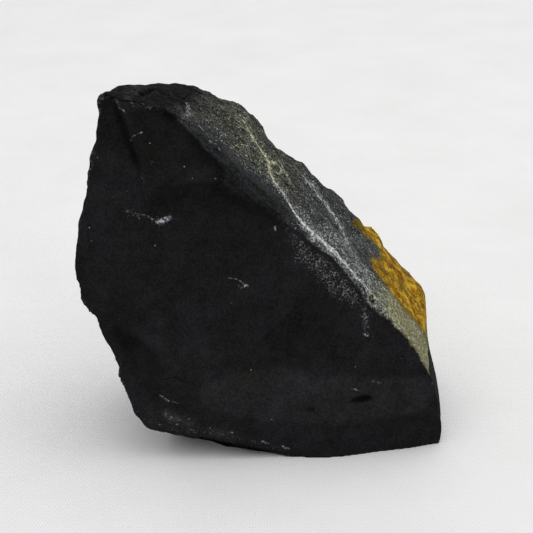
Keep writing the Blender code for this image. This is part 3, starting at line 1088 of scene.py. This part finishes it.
@dataclass
class SilicaMaterial:
    """The stone's one material: the fresh black break, and the crust with its stains."""

    effects: Effects
    crack_shade_gain: float = 0.55
    rub_and_highlight_share: float = 0.8
    dot_share: float = 0.7
    worn_and_highlight_share: float = 0.35
    streak_gains: Span = (0.66, 1.30)
    even_share: float = 0.5
    even_salt: float = 0.42
    burnt_share: float = 0.85
    browned_share: float = 0.7
    spot_share: float = 0.6
    shine: float = 0.03
    bench: Bench = field(init=False)
    place: Socket = field(init=False)
    colour: object = field(init=False, default=FRESH.dark)
    rough: object = field(init=False, default=FRESH.rough)
    height: object = field(init=False, default=0.0)

    def build(self) -> bpy.types.Material:
        """Builds the material.

        Returns:
            The material.
        """
        material, self.bench = new_material("black_silica_with_crust")
        self.place = self.bench.place()
        self.break_open()
        self.weather()
        self.bench.feed_shader(self.colour, self.rough, self.height, self.shine)
        return material

    def lay(self, share: Socket, finish: Finish, wander: Socket) -> None:
        """Lays a finish over what is there.

        Args:
            share: How much of the finish shows, from 0 to 1.
            finish: The finish.
            wander: What its colour and its height wander with.
        """
        bench = self.bench
        self.colour = bench.blend(share, self.colour, bench.blend(wander, finish.dark, finish.light))
        self.rough = bench.level(share, self.rough, finish.rough)
        self.height = bench.level(share, self.height, bench.times(wander, finish.grain))

    def mottle(self, size: float, detail: float = 3.0, contrast: float = 1.0) -> Socket:
        """Clouds of a size, in millimetres."""
        effect = self.effects.mottle
        return self.bench.effect(effect, Place=self.place, Size=size, Detail=detail, Contrast=contrast)

    def ragged(self, depth: Socket, size: float, reach: float, soft: float, **more: float) -> Socket:
        """A patch's inside with a ragged edge."""
        edge = {"Size": size, "Reach": reach, "Soft": soft, **more}
        return self.bench.effect(self.effects.ragged, Place=self.place, Depth=depth, **edge)

    def dusting(self, mark: Mark, size: float, soft: float) -> Socket:
        """Grains, as densely as the skin keeps under a mark."""
        cover = self.bench.kept(mark.value)
        return self.bench.effect(self.effects.dusting, Place=self.place, Cover=cover, Size=size, Soft=soft)

    def stroke(self, mark: Mark, size: float, reach: float, soft: float) -> Socket:
        """Draws thin marks.

        Args:
            mark: What the skin keeps them under.
            size: The size of the bites in their edge.
            reach: How deep the bites are.
            soft: How soft the edge is.

        Returns:
            The mask, 1 on a mark.
        """
        distance = self.bench.sum("ABSOLUTE", self.bench.kept(mark.value))
        depth = self.bench.less(self.bench.kept(mark.half), distance)
        return self.ragged(depth, size, reach, soft, Detail=3.0)

    def fibres(self, width: float, length: float, contrast: float = 1.0) -> Socket:
        """Streaks along the ridge."""
        effect = self.effects.fibres
        return self.bench.effect(effect, Place=self.place, Width=width, Length=length, Contrast=contrast)

    def dots(self) -> Socket:
        """Draws the dots.

        Returns:
            The mask, 1 on a dot.
        """
        bench = self.bench
        squares = (bench.sum("POWER", bench.kept(name), 2.0) for name in (Mark.DOT.value, Mark.DOT.up))
        reach = bench.sum("SQRT", bench.plus(*squares))
        return bench.step(bench.less(bench.kept(Mark.DOT.half), reach), -0.06, 0.08)

    def worn_and_highlit_edges(self) -> Socket:
        """Finds the sharp edges that have lost their skin, in broken stretches, whose pale face is also a
        painted highlight.

        Returns:
            The mask, 1 on an edge that has lost its skin and carries a painted highlight.
        """
        bench = self.bench
        broken = bench.step(bench.cloud(self.place, 0.8, 4.0), 0.40, 0.62)
        return bench.step(bench.times(bench.kept(Mark.CONVEX.value), broken), 0.10, 0.45)

    def break_open(self) -> None:
        """The fresh black break: shades, cracks, rubs and sugary grains, some painted shade and highlights.
        """
        bench = self.bench
        # The tone carries painted shade and painted light from the shades, as well as the stone's own tones.
        tone = bench.kept(Mark.TONE.value)
        fine = self.mottle(0.42, 2.0, 2.4)
        hue = bench.times(self.mottle(8.0, 4.0, 1.3), bench.step(tone, 0.55, 1.0))
        gain = bench.plus(0.60, bench.mixed(fine, 0.44, self.mottle(2.6, 4.0, 1.3), 0.36))
        self.colour = bench.scaled(bench.blend(hue, FRESH.dark, FRESH.light), bench.times(tone, gain))
        self.height = bench.times(fine, FRESH.grain)
        # The cracks are darkened as painted shade in their grooves.
        crack = self.stroke(Mark.CRACK, 0.9, 0.05, 0.1)
        self.colour = bench.scaled(self.colour, bench.level(crack, 1.0, self.crack_shade_gain))
        # Sugary grains and dust, with the ridge's painted highlight among them.
        self.lay(self.dusting(Mark.SUGAR, 0.27, 0.10), SUGAR, self.mottle(0.4, 1.0, 2.4))
        # Rubs, some of them painted highlights.
        rub = bench.times(self.stroke(Mark.RUB, 0.34, 0.16, 0.22), self.rub_and_highlight_share)
        self.lay(rub, RUB, self.mottle(0.45, 1.0, 2.6))
        self.lay(bench.times(self.dots(), self.dot_share), RUB, self.mottle(0.5, 1.0, 2.4))
        # Pale skin on the sharp edges, which also stands as a painted highlight along them.
        self.lay(bench.times(self.worn_and_highlit_edges(), self.worn_and_highlight_share), SUGAR, fine)

    def weather(self) -> None:
        """The weathered crust, from the ridge over to the back, with its seam lines, grains and painted
        highlights.
        """
        bench = self.bench
        inside = self.ragged(bench.kept(Mark.CRUST.value), 0.9, 0.08, 0.14)
        even = bench.times(bench.kept(Mark.EVEN.value), self.even_share)
        salt = bench.mixed(self.mottle(0.34, 2.0, 3.6), 0.68, self.fibres(0.5, 4.0, 3.0), 0.32)
        salt = bench.level(even, salt, self.even_salt)
        streaks = bench.level(even, bench.level(self.fibres(1.0, 7.0, 2.2), *self.streak_gains), 1.0)
        grey = bench.blend(salt, GREY_CRUST.dark, GREY_CRUST.light)
        grey = bench.scaled(grey, bench.times(bench.kept(Mark.TONE.value), streaks))
        grey = bench.blend(bench.step(self.mottle(2.8, 3.0, 1.6), 0.55, 0.9), grey, BLUE_TINT, "MULTIPLY")
        self.colour = bench.blend(inside, self.colour, grey)
        self.rough = bench.level(inside, self.rough, GREY_CRUST.rough)
        self.height = bench.level(inside, self.height, bench.times(salt, GREY_CRUST.grain))
        pale = bench.times(inside, self.ragged(bench.kept(Mark.PALE.value), 2.0, 1.2, 1.0))
        self.lay(pale, PALE_CRUST, salt)
        creamy = self.ragged(bench.less(bench.kept(Mark.CREAMY.value), 0.5), 1.5, 0.5, 0.3)
        warm = bench.times(bench.times(inside, creamy), self.mottle(2.4, 3.0, 1.6))
        self.colour = bench.blend(warm, self.colour, WARM_TINT, "MULTIPLY")
        bright = self.mottle(0.6, 2.0, 2.0)
        grains = bench.times(inside, self.dusting(Mark.GRAINS, 0.32, 0.08))
        # Seam lines, and the painted highlights along the ridge.
        seams_and_highlights = bench.times(inside, self.stroke(Mark.SEAM, 0.55, 0.20, 0.14))
        for mask, white, cream in ((grains, WHITE_GRAIN, CREAM_GRAIN), (seams_and_highlights, WHITE_SEAM_AND_HIGHLIGHT, CREAM_SEAM_AND_HIGHLIGHT)):
            self.lay(mask, white, bright)
            self.lay(bench.times(mask, creamy), cream, bright)
        self.stain(inside, salt)

    def stain(self, inside: Socket, salt: Socket) -> None:
        """Lays the rust-coloured patch over the crust, with its burnt and its olive parts.

        Args:
            inside: The mask of the crust.
            salt: The crust's fine grain.
        """
        bench = self.bench
        depth = bench.kept(Mark.RUST.value)
        rust = bench.times(inside, self.ragged(bench.less(depth, 0.3), 0.6, 0.85, 0.28))
        self.lay(rust, RUST, bench.mixed(self.mottle(2.2, 6.0, 3.0), 0.55, self.mottle(0.36, 2.0, 3.4), 0.45))
        burnt = bench.plus(self.mottle(3.0, 6.0, 2.2), bench.step(depth, 1.0, 9.0, 0.0, 0.40))
        burnt = bench.times(rust, bench.step(burnt, 0.55, 1.05))
        self.lay(bench.times(burnt, self.burnt_share), ORANGE, self.mottle(0.7, 3.0, 2.2))
        browned = bench.times(rust, self.ragged(bench.kept(Mark.OLIVE.value), 0.8, 1.0, 1.0))
        self.lay(bench.times(browned, self.browned_share), OLIVE, self.mottle(0.8, 3.0, 2.4))
        spots = bench.times(rust, bench.step(self.mottle(2.1, 6.0, 2.0), 0.66, 0.95))
        self.lay(bench.times(spots, self.spot_share), OLIVE, salt)
        fringe = bench.times(rust, bench.step(depth, 2.2, 0.2))
        self.lay(bench.times(fringe, self.mottle(1.4, 3.0, 1.8)), OLIVE, salt)


def past_ridge(flat: Array, wander: Array | float = 0.0) -> Array:
    """How far points of the crust's plan are past the ridge, which may wander along the plan."""
    ridge = np.array(RIDGE.points)
    return flat[:, 1] - np.interp(flat[:, 0] + wander, ridge[:, 0], ridge[:, 1])


@dataclass
class Stone:
    """The chunk of black silica, from the fractured skin to its finish.

    The underside sags in a band across the stone, and the crust's edge is bevelled in a band down the
    ridge. A band's numbers are where it starts, is full, begins to fade and ends, and a span's are where
    a change starts and where it is full.
    """

    source: bpy.types.Object
    effects: Effects
    most_faces: int = 190_000
    fine_levels: int = 10
    swell_loss: float = 0.5
    chip_depth: float = 0.9
    chip_reach: float = 1.0
    sag: float = 0.8
    sag_height: Span = (9.5, 6.5)
    sag_band: Band = (-17.0, -10.0, -1.0, 5.0)
    break_facing: Span = (0.35, 0.65)
    crust_facing: Span = (0.2, 0.5)
    rim_facing: Span = (0.92, 0.6)
    under_facing: Span = (0.3, 0.7)
    bevel_band: Band = (10.0, 17.0, 36.0, 44.0)
    bevel_softness: float = 2.0
    soft_from: Span = (19.0, 26.0)
    even_to: Span = (4.5, 2.0)
    creamy_from: Span = (6.0, 2.5)
    grains_from: Span = (3.0, 0.5)
    creamy_down: tuple[Point, ...] = (
        (8.0, 0.2), (20.0, 1.0), (36.0, 1.0), (42.0, 0.0), (58.0, 0.1), (66.0, 1.0)
    )
    ragged_end: Span = (76.0, 79.0)
    ragged_back: Span = (4.0, 9.0)
    thinning: float = 8.0
    ridge_shade: float = 0.50
    ridge_shade_reach: float = 2.2
    crust_cover: float = 0.27
    sugar_cover: float = 0.43
    sugar_edge: Span = (-1.4, 2.0)
    sugar_from: Span = (26.0, 44.0)
    dot_half: float = 0.10
    skin: Skin = field(init=False)

    def build(self) -> bpy.types.Object:
        """Lays, marks and dresses the skin.

        Returns:
            The stone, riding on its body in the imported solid's place.
        """
        self.skin = Skin(self.source)
        self.skin.lay()
        log.info("net: %d corners", len(self.skin.places))
        self.skin.smooth()
        self.mark()
        self.dress_strokes(self.dress())
        self.dress_dots()
        self.skin.store()
        stone = add_object("black_silica_chunk", self.skin.mesh)
        self.thin_out(stone)
        stone.data.shade_smooth()
        stone.data.materials.clear()
        stone.data.materials.append(SilicaMaterial(self.effects).build())
        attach(stone, "root")
        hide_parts(NODE)
        return stone

    def mark(self) -> None:
        """Gives the skin its steps, cracks, pits, swells, chipped edges and bulges."""
        skin = self.skin
        places, looks = skin.places, skin.soft_looks
        on_front = ease(Side.FRONT.faces(looks), *self.break_facing)
        past = past_ridge(Side.CRUST.plan(places))
        on_crust = ease(past, -0.3, 0.8) * ease(Side.CRUST.faces(looks), *self.crust_facing)
        lift = sum(mark.lift(places) for mark in FRONT_MARKS) * on_front
        lift = lift + sum(swell.lift(places) for swell in BREAK_SWELLS) * (1 - self.swell_loss * on_crust)
        lift = lift + sum(mark.lift(places) for mark in CRUST_MARKS) * on_crust
        chips = np.maximum(CHIP_SWELL.lift(places) - 0.02, 0.0)
        lift = lift - chips * np.exp(-skin.edge_distance / self.chip_reach) * self.chip_depth
        lift = lift + sum(bulge.lift(places) for bulge in CREST_BULGES)
        rim = ease(np.abs(Side.FRONT.faces(looks)), *self.rim_facing)
        lift = lift + sum(bulge.lift(places) for bulge in RIM_BULGES) * rim
        across, _, up = places.T
        below = ease(-looks[:, 2], *self.under_facing) * ease(up, *self.sag_height)
        skin.raise_by(lift + self.sag * below * band(across, *self.sag_band))

    def dress(self) -> Array:
        """Keeps how far each corner is from the crust's and the stains' edges, its grains and its tone.

        Returns:
            How far each corner is weathered, from 0 to 1.
        """
        skin = self.skin
        places = skin.places
        flat = Side.CRUST.plan(places)
        down, across = flat.T
        wander = END_SWELL.lift(places) * ease(down, *self.ragged_end) * ease(across, -11.0, -5.0)
        past = past_ridge(flat, wander)
        back = sum(swell.lift(places) for swell in BACK_SWELLS) * ease(across, *self.ragged_back)
        facing = (Side.CRUST.faces(skin.soft_looks) + 0.05) * self.thinning + back
        on_crust = np.minimum(past, facing)
        fresh = ease(-on_crust, -0.2, 0.6)
        weathered = ease(on_crust, -1.0, 0.0)
        bevel = band(down, *self.bevel_band)
        creamy = np.interp(down, *zip(*self.creamy_down))
        cover = np.max([grains.lie(places) for grains in GRAIN_LINES], axis=0)
        cover = np.maximum(cover, self.crust_cover * ease(down, 8.0, 20.0))
        sugar = self.sugar_cover * ease(SUGAR_PATCH.depth(places), *self.sugar_edge)
        sugar = sugar * ease(down, *self.sugar_from)
        dust_and_highlight = np.max([dust_and_highlight.lie(places) for dust_and_highlight in DUSTS_AND_EDGE_HIGHLIGHT], axis=0)
        shaded = np.exp(-np.maximum(past, 0) / self.ridge_shade_reach) * bevel * weathered
        tone = 1 - self.ridge_shade * shaded
        facing_front = ease(Side.FRONT.faces(skin.soft_looks), 0.2, 0.5) * fresh
        # The shades multiply the tone, painted shade and painted light among them.
        for shade in SHADES:
            own = facing_front if shade.line.side is Side.FRONT else weathered
            tone *= 1 + (shade.tone(places) - 1) * own
        for mark, values in (
            (Mark.CRUST, on_crust / (1 + self.bevel_softness * bevel * ease(down, *self.soft_from))),
            (Mark.EVEN, bevel * ease(past, *self.even_to)),
            (Mark.RUST, np.minimum(RUST_PATCH.depth(places), facing + 2.5)),
            (Mark.OLIVE, np.maximum.reduce([patch.depth(places) for patch in OLIVE_PATCHES])),
            (Mark.PALE, PALE_PATCH.depth(places)),
            (Mark.CREAMY, creamy * (1 - bevel * ease(past, *self.creamy_from))),
            (Mark.GRAINS, cover * weathered * (1 - bevel * ease(past, *self.grains_from))),
            (Mark.SUGAR, np.maximum(sugar, dust_and_highlight) * fresh),
            (Mark.TONE, tone),
            (Mark.CONVEX, skin.bends()),
        ):
            skin.keep(mark.value, values)
        return weathered

    def dress_strokes(self, weathered: Array) -> None:
        """Keeps how far each corner is from the middle of the stroke that covers it most.

        Args:
            weathered: How far each corner is weathered, from 0 to 1.
        """
        places = self.skin.places
        facing_front = Side.FRONT.faces(self.skin.soft_looks) > 0.2
        for mark, strokes, owned in (
            (Mark.SEAM, SEAMS_AND_RIDGE_HIGHLIGHTS, weathered > 0.2),
            (Mark.RUB, RUBS_AND_HIGHLIGHTS, facing_front),
            (Mark.CRACK, CRACK_SHADE_STROKES, facing_front),
        ):
            reaches = np.array([stroke.reach(places) for stroke in strokes])
            best = (reaches[:, 1] - np.abs(reaches[:, 0])).argmax(axis=0)
            signed, half = reaches[best, :, np.arange(len(places))].T
            self.skin.keep(mark.value, signed)
            self.skin.keep(mark.half, np.where(owned, half, -STROKE_REACH))

    def dress_dots(self) -> None:
        """Keeps how far each corner is from the nearest dot, across and up, and the dot's half-width."""
        skin = self.skin
        flat = Side.FRONT.plan(skin.places)
        dots = np.array(DOTS)
        off = flat - dots[np.linalg.norm(flat[:, None] - dots, axis=2).argmin(axis=1)]
        skin.keep(Mark.DOT.value, off[:, 0])
        skin.keep(Mark.DOT.up, off[:, 1])
        near = (np.linalg.norm(off, axis=1) < STROKE_REACH) & (Side.FRONT.faces(skin.soft_looks) > 0.2)
        skin.keep(Mark.DOT.half, near * self.dot_half)

    def thin_out(self, stone: bpy.types.Object) -> None:
        """Thins the net out where the stone is seen least, below and behind.

        Args:
            stone: The stone, with its net at its finest.
        """
        looks = self.skin.soft_looks
        seen = np.maximum(ease(-looks[:, 1], -0.1, 0.25), ease(Side.CRUST.faces(looks), 0.1, 0.35))
        group = stone.vertex_groups.new(name="fine")
        for level in range(self.fine_levels + 1):
            chosen = np.nonzero(np.round(seen * self.fine_levels) == level)[0]
            group.add(chosen.tolist(), level / self.fine_levels, "REPLACE")
        faces = sum(len(face.vertices) - 2 for face in stone.data.polygons)
        thin = stone.modifiers.new("thin", "DECIMATE")
        thin.ratio = self.most_faces / faces
        thin.vertex_group = group.name
        thin.invert_vertex_group = True
        thin.vertex_group_factor = 1.0
        mesh = settled(stone)
        stone.modifiers.clear()
        stone.data = mesh
        stone.vertex_groups.clear()
        log.info("thinned out from %d to %d faces", faces, len(mesh.polygons))


@dataclass(frozen=True)
class Cloth:
    """A pale, finely woven cloth."""

    dark: Colour = (0.66, 0.66, 0.65)
    light: Colour = (0.93, 0.93, 0.93)
    thread: float = 0.56
    slant: float = 2.1
    rough: float = 0.9
    shine: float = 0.2
    relief: float = 0.05

    def threads(self, bench: Bench, place: Socket) -> Socket:
        """Adds threads that cross.

        Args:
            bench: The cloth's bench.
            place: Where they are read, in millimetres.

        Returns:
            The height, from 0 between the threads to 1 on top of them.
        """
        parts = bench.node("ShaderNodeSeparateXYZ", {0: bench.scaled(place, 1 / self.thread)}).outputs
        deep = bench.sum("DIVIDE", parts["Y"], self.slant)
        ways = (bench.plus(parts["X"], deep), bench.less(parts["X"], deep))
        waves = [bench.sum("SINE", bench.times(way, math.pi)) for way in ways]
        return bench.sum("MAXIMUM", *(bench.sum("ABSOLUTE", wave) for wave in waves))

    def material(self, effects: Effects) -> bpy.types.Material:
        """Makes the cloth's material.

        Args:
            effects: The effects that the finishes share.

        Returns:
            The material.
        """
        material, bench = new_material("pale_cloth")
        place = bench.place()
        clouds = bench.effect(effects.mottle, Place=place, Size=30.0, Detail=3.0, Contrast=0.8)
        threads = self.threads(bench, place)
        colour = bench.blend(bench.mixed(clouds, 0.2, threads, 0.8), self.dark, self.light)
        bench.feed_shader(colour, self.rough, bench.times(threads, self.relief), self.shine)
        return material


@dataclass
class Studio:
    """The plain pale floor, the soft light and the camera."""

    effects: Effects
    floor_side: float = 4000.0
    eye: Place = (0.619, -288.220, 160.123)
    tilt: float = 66.0
    lens: float = 108.07
    room: Colour = (0.50, 0.50, 0.50)

    def build(self) -> None:
        """Sets the studio up."""
        self.lay_floor()
        self.hang_lights()
        self.set_camera()
        bpy.context.scene.view_settings.view_transform = "Standard"

    def lay_floor(self) -> None:
        """Lays the cloth that the stone stands on."""
        bm = bmesh.new()
        bmesh.ops.create_grid(bm, x_segments=8, y_segments=8, size=self.floor_side * MM / 2)
        mesh = bpy.data.meshes.new("floor")
        bm.to_mesh(mesh)
        bm.free()
        floor = add_object("floor", mesh)
        mesh.materials.append(Cloth().material(self.effects))

    def lamp(self, name: str, place: Place, aim: Place, side: float, power: float) -> None:
        """Hangs one square soft light.

        Args:
            name: What it is called.
            place: Where it hangs, in millimetres.
            aim: The point that it faces, in millimetres.
            side: Its side, in millimetres.
            power: Its power, in watts.
        """
        light = bpy.data.lights.new(name, "AREA")
        light.shape = "SQUARE"
        light.size = side * MM
        light.energy = power
        lamp = add_object(name, light)
        lamp.location = Vector(place) * MM
        lamp.rotation_euler = ((Vector(aim) - Vector(place)).to_track_quat("-Z", "Y")).to_euler()

    def hang_lights(self) -> None:
        """Hangs a broad light overhead and a smaller one to its right, in an evenly lit room."""
        self.lamp("ceiling", (-20, -80, 850), (0, -40, 0), 2600, 10.4)
        self.lamp("window", (240, 80, 780), (0, 0, 0), 900, 1.4)
        world = bpy.data.worlds.new("room")
        world.use_nodes = True
        background = world.node_tree.nodes["Background"]
        background.inputs["Color"].default_value = (*self.room, 1.0)
        background.inputs["Strength"].default_value = 1.0
        bpy.context.scene.world = world

    def set_camera(self) -> None:
        """Sets the camera in front, looking down on the stone."""
        camera = bpy.data.cameras.new("camera")
        camera.sensor_width = 36.0
        camera.lens = self.lens
        camera.clip_start = 0.01
        eye = add_object("camera", camera)
        eye.location = Vector(self.eye) * MM
        eye.rotation_euler = (math.radians(self.tilt), 0.0, 0.0)
        bpy.context.scene.camera = eye


def main() -> None:
    """Builds the stone and the studio."""
    logging.basicConfig(level=logging.INFO, format="%(name)s: %(message)s")
    effects = Effects()
    stone = Stone(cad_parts[NODE], effects).build()
    log.info("%s: %d faces", stone.name, len(stone.data.polygons))
    Studio(effects).build()
    log.info("studio: floor, light and camera")


if __name__ == "__main__":
    main()
